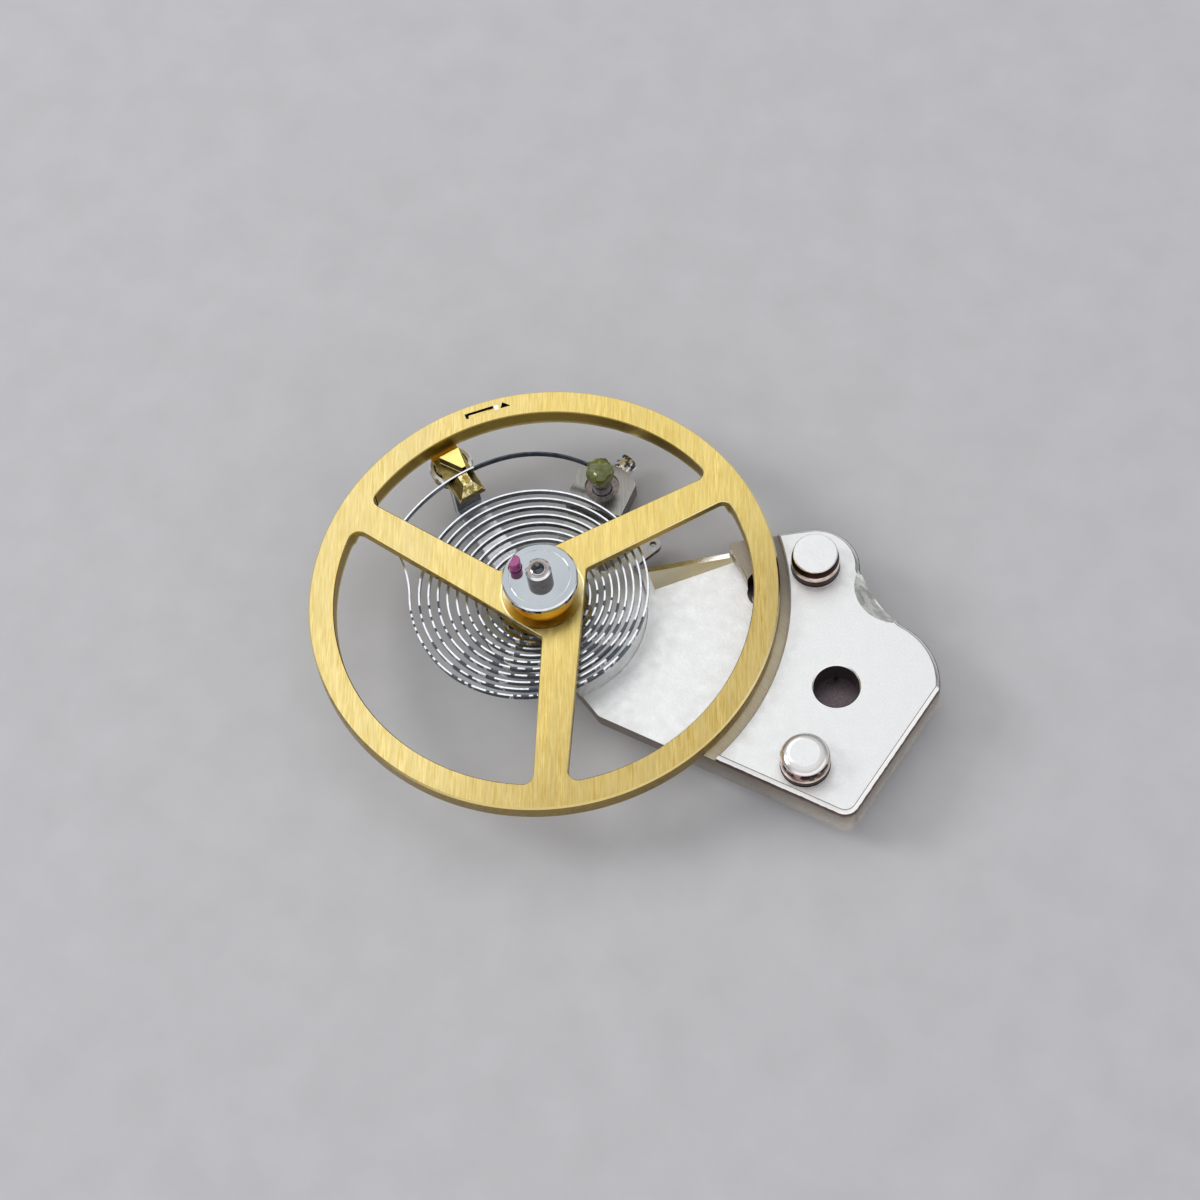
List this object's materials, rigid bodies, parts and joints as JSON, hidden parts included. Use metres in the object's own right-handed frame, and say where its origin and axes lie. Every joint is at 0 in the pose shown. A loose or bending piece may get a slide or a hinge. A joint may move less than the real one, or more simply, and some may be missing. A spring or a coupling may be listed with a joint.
{
  "type": "watch balance on its cock",
  "caption": "Spoked balance wheel on its staff with hairspring, rollers, regulator, stud carrier and shock setting, carried by a balance cock with steady pins.",
  "frame": {"origin": "centre of the cock's screw hole, in the plane of the cock's seat", "axes": "+Z out of the seat, towards the movement's dial side; the balance axis is parallel to Z at -X"},
  "size_m": [0.0127, 0.0094, 0.0028],
  "materials": {
    "frosted_nickel": "nickel plated, finely frosted with bright bevels",
    "steady_pin_metal": "nickel plated, turned",
    "shock_block_metal": "turned and polished",
    "setting_brass": "gilt, turned",
    "ruby": "polished synthetic ruby",
    "spring_steel": "gilt spring strip",
    "polished_steel": "polished",
    "gilt_block": "gilt, bright",
    "carrier_steel": "brushed with polished bevels",
    "stud_steel": "turned",
    "stud_glue": "hardened olive shellac, glossy",
    "screw_steel": "dark polished",
    "hairspring_alloy": "blue-silver ribbon",
    "collet_metal": "turned",
    "gilt_brass": "pale gilt, fine straight brushing, bright bevels",
    "roller_steel": "black polished, bluish reflections"
  },
  "bodies": {
    "cock": {"balance_cock": "frosted_nickel", "steady_pin_far": "steady_pin_metal", "steady_pin_near": "steady_pin_metal", "shock_block": "shock_block_metal"},
    "setting": {"jewel_setting": "setting_brass", "hole_jewel": "ruby", "cap_jewel": "ruby"},
    "lyre": {"shock_spring": "spring_steel"},
    "carrier": {"stud_carrier": "carrier_steel", "hairspring_stud": "stud_steel", "stud_glue": "stud_glue", "stud_screw": "screw_steel"},
    "index": {"regulator_index": "polished_steel"},
    "block": {"regulator_block": "gilt_block"},
    "balance": {"balance_wheel": "gilt_brass", "balance_staff": "polished_steel", "roller_table": "roller_steel", "safety_roller": "roller_steel", "impulse_jewel": "ruby", "hairspring_collet": "collet_metal", "hairspring": "hairspring_alloy"}
  },
  "joints": [
    {"name": "balance_swing", "type": "hinge", "parent": "carrier", "child": "balance", "pos_m": [-0.0061, 0, 0], "axis": [0, 0, 1], "range_deg": [-300, 300], "stiffness_Nm_per_rad": 0.0000007, "deforming": ["hairspring"]},
    {"name": "carrier_swing", "type": "hinge", "parent": "cock", "child": "carrier", "pos_m": [-0.0061, 0, -0.00096], "axis": [0, 0, 1], "range_deg": [-12, 12], "deforming": ["hairspring"]},
    {"name": "index_swing", "type": "hinge", "parent": "cock", "child": "index", "pos_m": [-0.0061, 0, -0.0011], "axis": [0, 0, 1], "range_deg": [-12, 12], "deforming": ["hairspring"]},
    {"name": "block_turn", "type": "hinge", "parent": "index", "child": "block", "pos_m": [-0.00915, 0.00247, -0.00025], "axis": [0, 0, 1], "range_deg": [-8, 8], "deforming": ["hairspring"]},
    {"name": "setting_shift", "type": "slide", "parent": "cock", "child": "setting", "axis": [0, 0, -1], "range_m": [0, 0.00004], "stiffness_N_per_m": 100},
    {"name": "lyre_open", "type": "hinge", "parent": "cock", "child": "lyre", "pos_m": [-0.00674, 0, -0.00109], "axis": [0, 1, 0], "range_deg": [0, 95]}
  ]
}
